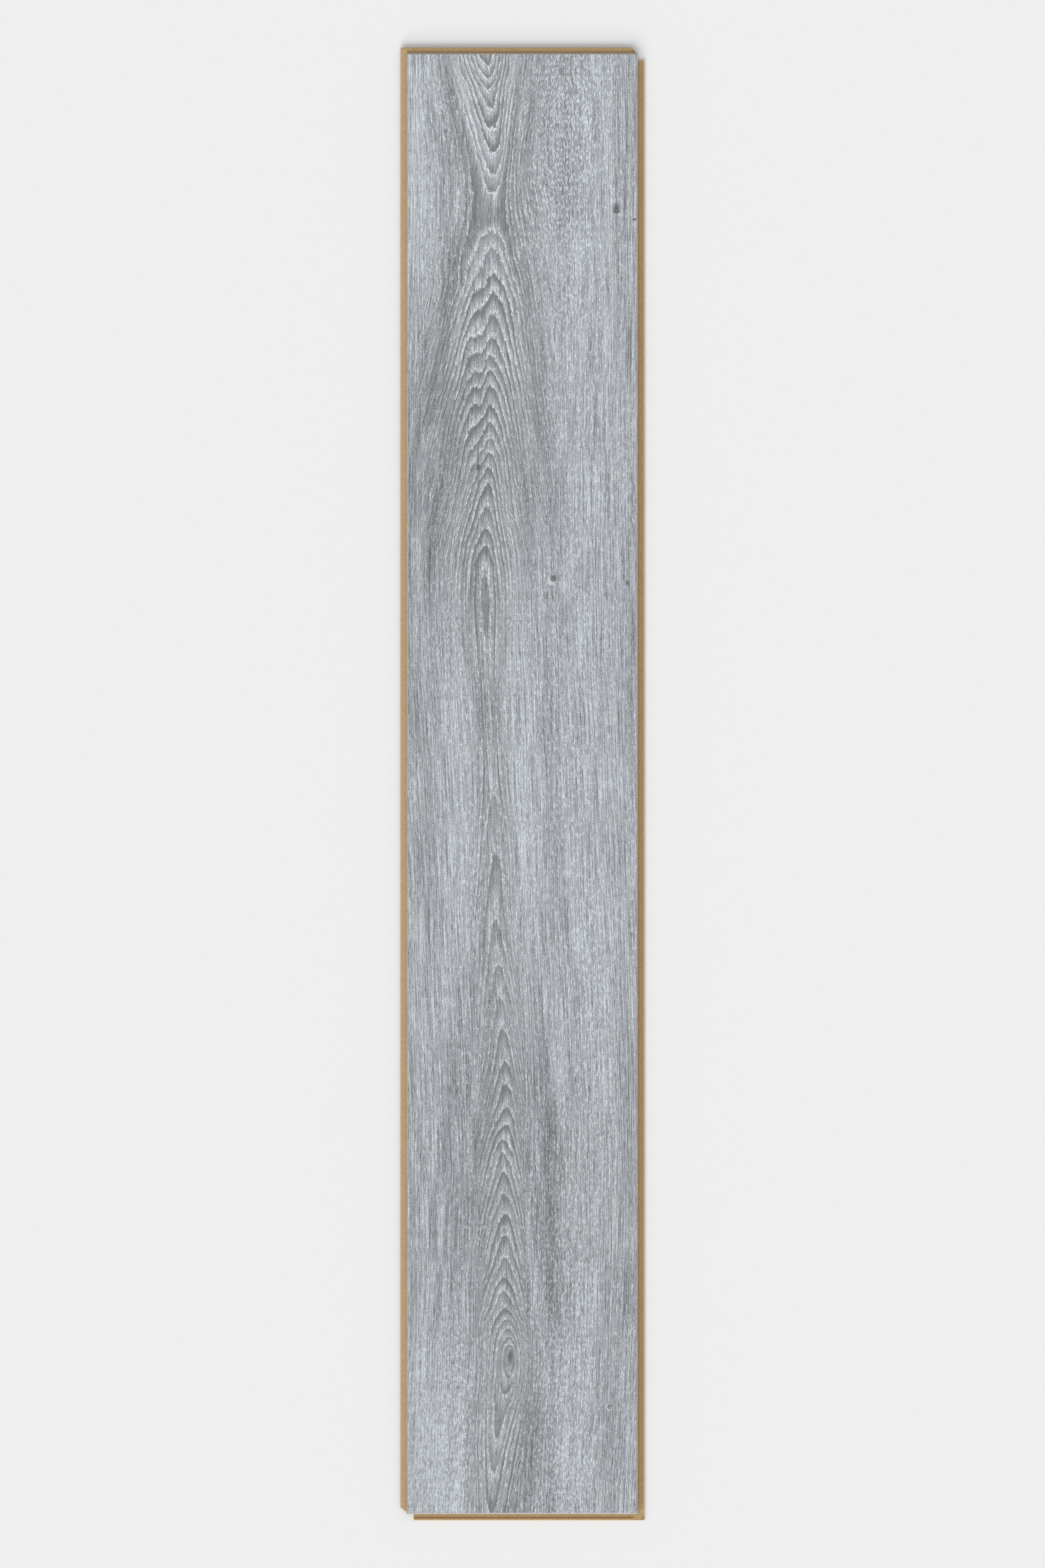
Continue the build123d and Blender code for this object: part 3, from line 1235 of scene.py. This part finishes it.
    def skins(self, normal: Array, middle: Array) -> Array:
        """Picks each face's finish from how it leans and how high it lies.

        Args:
            normal: Each face's normal.
            middle: Each face's middle.

        Returns:
            Finish numbers, one a face.
        """
        lean, height = normal[:, 2], middle[:, 2]
        top = height > self.profile.thickness - self.profile.bevel_depth - self.top_slack
        skin = np.full(len(normal), Skin.CORE.value)
        skin[top & (lean > self.bevel_lean)] = Skin.BEVEL.value
        skin[top & (lean > self.face_lean)] = Skin.DECOR.value
        skin[(lean < self.back_lean) & (height < self.back_slack)] = Skin.BACK.value
        return skin

    def build(self, finishes: dict[Skin, bpy.types.Material]) -> bpy.types.Object:
        """Makes the plank's object with its finishes, fibre fields and laid-out skin.

        Args:
            finishes: A material for each kind of skin.

        Returns:
            The plank, in metres.
        """
        mesh = self.cut()
        faces, corners, points = len(mesh.polygons), len(mesh.loops), len(mesh.vertices)
        place = np.empty(points * 3)
        normal = np.empty(faces * 3)
        middle = np.empty(faces * 3)
        index = np.empty(corners, int)
        count = np.empty(faces, int)
        mesh.vertices.foreach_get("co", place)
        mesh.polygons.foreach_get("normal", normal)
        mesh.polygons.foreach_get("center", middle)
        mesh.polygons.foreach_get("loop_total", count)
        mesh.loops.foreach_get("vertex_index", index)
        place, normal, middle = place.reshape(-1, 3), normal.reshape(-1, 3), middle.reshape(-1, 3)
        skin = self.skins(normal, middle)
        layout = mesh.uv_layers.new(name="OFBake")
        spread = self.charts(place[index], np.repeat(np.arange(faces), count), middle, skin)
        layout.data.foreach_set("uv", spread.ravel().astype(np.float32))

        x, y, _ = place.T
        figure = self.figure
        fields = {
            "fibre": (figure.flow(x, y), figure.flank(x, y), figure.calm(x, y)),
            "arch": (figure.rings(x, y), figure.contrast(x, y), figure.bold(x, y)),
            "cover": (figure.rice(x, y), figure.shade(x, y), figure.jag(y)),
        }
        for name, parts in fields.items():
            field = mesh.attributes.new(name, "FLOAT_VECTOR", "POINT")
            field.data.foreach_set("vector", np.column_stack(parts).ravel().astype(np.float32))

        for kind in Skin:
            mesh.materials.append(finishes[kind])
        mesh.polygons.foreach_set("material_index", skin.astype(np.int32))
        mesh.polygons.foreach_set("use_smooth", np.ones(faces, bool))
        mesh.vertices.foreach_set("co", (place * MM).ravel())
        mesh.set_sharp_from_angle(angle=math.radians(self.crease))
        mesh.update()
        mesh.name = "plank_skin"
        plank = bpy.data.objects.new("plank_skin", mesh)
        bpy.context.collection.objects.link(plank)
        return plank


@dataclass(frozen=True)
class Studio:
    """A pale floor, soft light from the plank's near end and all round, and a camera straight above.

    Places are in metres and angles in degrees.
    """

    lens: float = 180.0
    fill: float = 0.94
    far_clip: float = 100.0
    floor_colour: str = "f4f4f3"
    floor_roughness: float = 0.9
    floor_half: float = 30.0
    floor_height: float = -0.0002
    sky_colour: str = "fbfcff"
    sky: float = 0.6
    lamp_power: float = 2.0
    lamp_angle: float = 50.0
    lamp_place: tuple[float, float, float] = (-0.6, -2.6, 1.9)

    def floor(self) -> bpy.types.Object:
        """Lays a flat sheet just under the plank, in matt paint that gives the eye an even pale ground.

        Returns:
            The sheet.
        """
        mesh = bpy.data.meshes.new("floor")
        signs = ((-1, -1), (1, -1), (1, 1), (-1, 1))
        corners = [(self.floor_half * x, self.floor_half * y, self.floor_height) for x, y in signs]
        mesh.from_pydata(corners, [], [(0, 1, 2, 3)])
        material, _, shader = new_material("pale floor paint")
        shader.inputs["Base Color"].default_value = linear(self.floor_colour)
        shader.inputs["Roughness"].default_value = self.floor_roughness
        mesh.materials.append(material)
        sheet = bpy.data.objects.new("floor", mesh)
        bpy.context.collection.objects.link(sheet)
        return sheet

    def light(self) -> None:
        """Sets one wide, far lamp beyond the near end and an even pale sky."""
        world = bpy.data.worlds.new("studio")
        world.use_nodes = True
        background = world.node_tree.nodes["Background"]
        background.inputs["Color"].default_value = linear(self.sky_colour)
        background.inputs["Strength"].default_value = self.sky
        bpy.context.scene.world = world
        lamp = bpy.data.lights.new("soft lamp", "SUN")
        lamp.energy = self.lamp_power
        lamp.angle = math.radians(self.lamp_angle)
        lamp_object = bpy.data.objects.new("soft lamp", lamp)
        lamp_object.location = self.lamp_place
        lamp_object.rotation_euler = (-lamp_object.location).to_track_quat("-Z", "Y").to_euler()
        bpy.context.collection.objects.link(lamp_object)

    def camera(self, low: Vector, high: Vector) -> None:
        """Sets a long lens above the plank's middle, with the plank's length up the picture.

        Args:
            low: The plank's lowest corner, in metres.
            high: Its highest corner.
        """
        eye = bpy.data.cameras.new("camera")
        eye.lens = self.lens
        eye.clip_end = self.far_clip
        eye_object = bpy.data.objects.new("camera", eye)
        distance = (high.y - low.y) / self.fill * self.lens / eye.sensor_width
        eye_object.location = ((low.x + high.x) / 2, (low.y + high.y) / 2, high.z + distance)
        bpy.context.collection.objects.link(eye_object)
        bpy.context.scene.camera = eye_object


def main() -> None:
    """Builds the plank and the studio, and notes the plank's face count and size."""
    logging.basicConfig(level=logging.INFO, format="%(message)s")
    low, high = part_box(NODE)
    profile = ClickProfile(thickness=(high.z - low.z) / MM)
    plank = Plank(
        profile=profile,
        figure=OakFigure(),
        length=(high.y - low.y) / MM - profile.tongue_reach - profile.lip_reach,
        width=(high.x - low.x) / MM - profile.tongue_reach - profile.lip_reach,
    )
    finishes = {
        Skin.DECOR: PrintedOak().make(),
        Skin.BEVEL: BevelPaint().make(),
        Skin.CORE: MILLED_EDGE.make(),
        Skin.BACK: BACKING.make(),
    }
    skin = plank.build(finishes)
    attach(skin, BODY)
    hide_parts(NODE)
    LOG.info("plank: %d faces, %.1f by %.1f mm", len(skin.data.polygons), plank.length, plank.width)

    studio = Studio()
    studio.floor()
    studio.light()
    studio.camera(low, high)
    LOG.info("studio: floor, lamp and camera")
    bpy.context.scene.view_settings.view_transform = "Standard"


if __name__ == "__main__":
    main()
